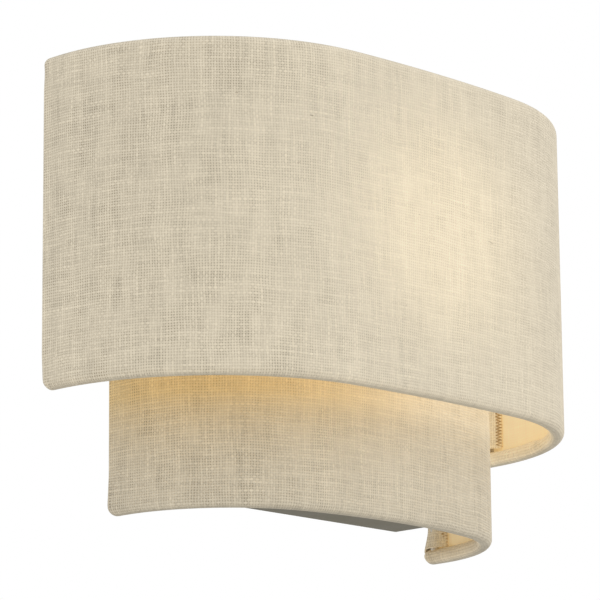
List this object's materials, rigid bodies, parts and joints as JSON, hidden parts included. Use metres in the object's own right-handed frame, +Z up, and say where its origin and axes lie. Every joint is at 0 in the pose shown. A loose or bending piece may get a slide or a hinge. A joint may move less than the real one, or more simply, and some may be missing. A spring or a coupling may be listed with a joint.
{
  "type": "fabric shade wall light",
  "caption": "Wall light with a two-tier D-shaped linen shade that hangs on a steel wall box, over an upright screw-in lamp.",
  "frame": {"origin": "middle of the wall strap's two fixing slots, on the wall plane", "axes": "+X to the right as the light is faced, +Y into the wall, +Z up"},
  "size_m": [0.3, 0.114, 0.209],
  "materials": {
    "linen": "plain-weave linen",
    "lining": "translucent shade lining",
    "white_wire": "white powder coat",
    "bronze_paint": "antique bronze, satin",
    "zinc": "zinc-plated steel",
    "brass": "plain brass",
    "holder_white": "white thermoplastic",
    "holder_core_white": "glazed ceramic",
    "block_plastic": "natural polyamide",
    "lamp_cap_metal": "bright aluminium",
    "lamp_black": "black insulator",
    "lamp_white": "white housing",
    "board": "white solder mask",
    "opal": "opal diffuser",
    "earth_sleeve": "green and yellow insulation",
    "live_sleeve": "brown insulation",
    "neutral_sleeve": "blue insulation",
    "black_rubber": "moulded rubber"
  },
  "bodies": {
    "wall_side": {"wall_strap": "zinc", "strap_studs": "zinc", "wall_box": "bronze_paint", "terminal_block": "block_plastic", "terminal_barrels": "brass", "terminal_screws": "zinc", "block_screws": "zinc", "earth_screw": "zinc", "earth_lug": "brass", "earth_wire": "earth_sleeve", "live_wire": "live_sleeve", "neutral_wire": "neutral_sleeve", "wire_grommet": "black_rubber", "lampholder_arm": "bronze_paint", "arm_rivets": "zinc", "holder_nipple": "brass", "nipple_nut": "brass", "holder_cap": "holder_white", "holder_insert": "holder_core_white", "holder_core": "holder_core_white", "holder_sleeve": "holder_white", "screw_shell": "brass", "centre_contact": "brass"},
    "shade": {"upper_cover": "linen", "upper_lining": "lining", "upper_top_ring": "white_wire", "upper_bottom_ring": "white_wire", "upper_end_wires": "white_wire", "lower_cover": "linen", "lower_lining": "lining", "lower_top_ring": "white_wire", "lower_bottom_ring": "white_wire", "lower_end_wires": "white_wire", "cross_bar": "white_wire"},
    "lamp_end": {"lamp_tip": "brass"},
    "lamp": {"lamp_insulator": "lamp_black", "lamp_cap": "lamp_cap_metal", "lamp_housing": "lamp_white", "led_board": "board", "lamp_globe": "opal"},
    "washer_r": {"washer_right": "brass"},
    "nut_r": {"cap_nut_right": "brass"},
    "washer_l": {"washer_left": "brass"},
    "nut_l": {"cap_nut_left": "brass"}
  },
  "joints": [
    {"name": "shade_lift", "type": "slide", "parent": "wall_side", "child": "shade", "axis": [0, 0, 1], "range_m": [0, 0.014]},
    {"name": "lamp_travel", "type": "slide", "parent": "wall_side", "child": "lamp_end", "axis": [0, 0, 1], "range_m": [0, 0.021]},
    {"name": "lamp_turn", "type": "hinge", "parent": "lamp_end", "child": "lamp", "pos_m": [0, -0.051, 0.03], "axis": [0, 0, 1], "range_deg": [0, 2083.81]},
    {"name": "right_nut_travel", "type": "slide", "parent": "wall_side", "child": "washer_r", "axis": [0, -1, 0], "range_m": [0, 0.0056]},
    {"name": "right_nut_turn", "type": "hinge", "parent": "washer_r", "child": "nut_r", "pos_m": [0.062, -0.028, 0], "axis": [0, -1, 0], "range_deg": [0, 2880.01]},
    {"name": "left_nut_travel", "type": "slide", "parent": "wall_side", "child": "washer_l", "axis": [0, -1, 0], "range_m": [0, 0.0056]},
    {"name": "left_nut_turn", "type": "hinge", "parent": "washer_l", "child": "nut_l", "pos_m": [-0.062, -0.028, 0], "axis": [0, -1, 0], "range_deg": [0, 2880.01]}
  ],
  "couplings": [
    {"joint": "lamp_turn", "follows": "lamp_travel", "rad_per_m": 1731.9},
    {"joint": "right_nut_turn", "follows": "right_nut_travel", "rad_per_m": 8976},
    {"joint": "left_nut_turn", "follows": "left_nut_travel", "rad_per_m": 8976}
  ]
}
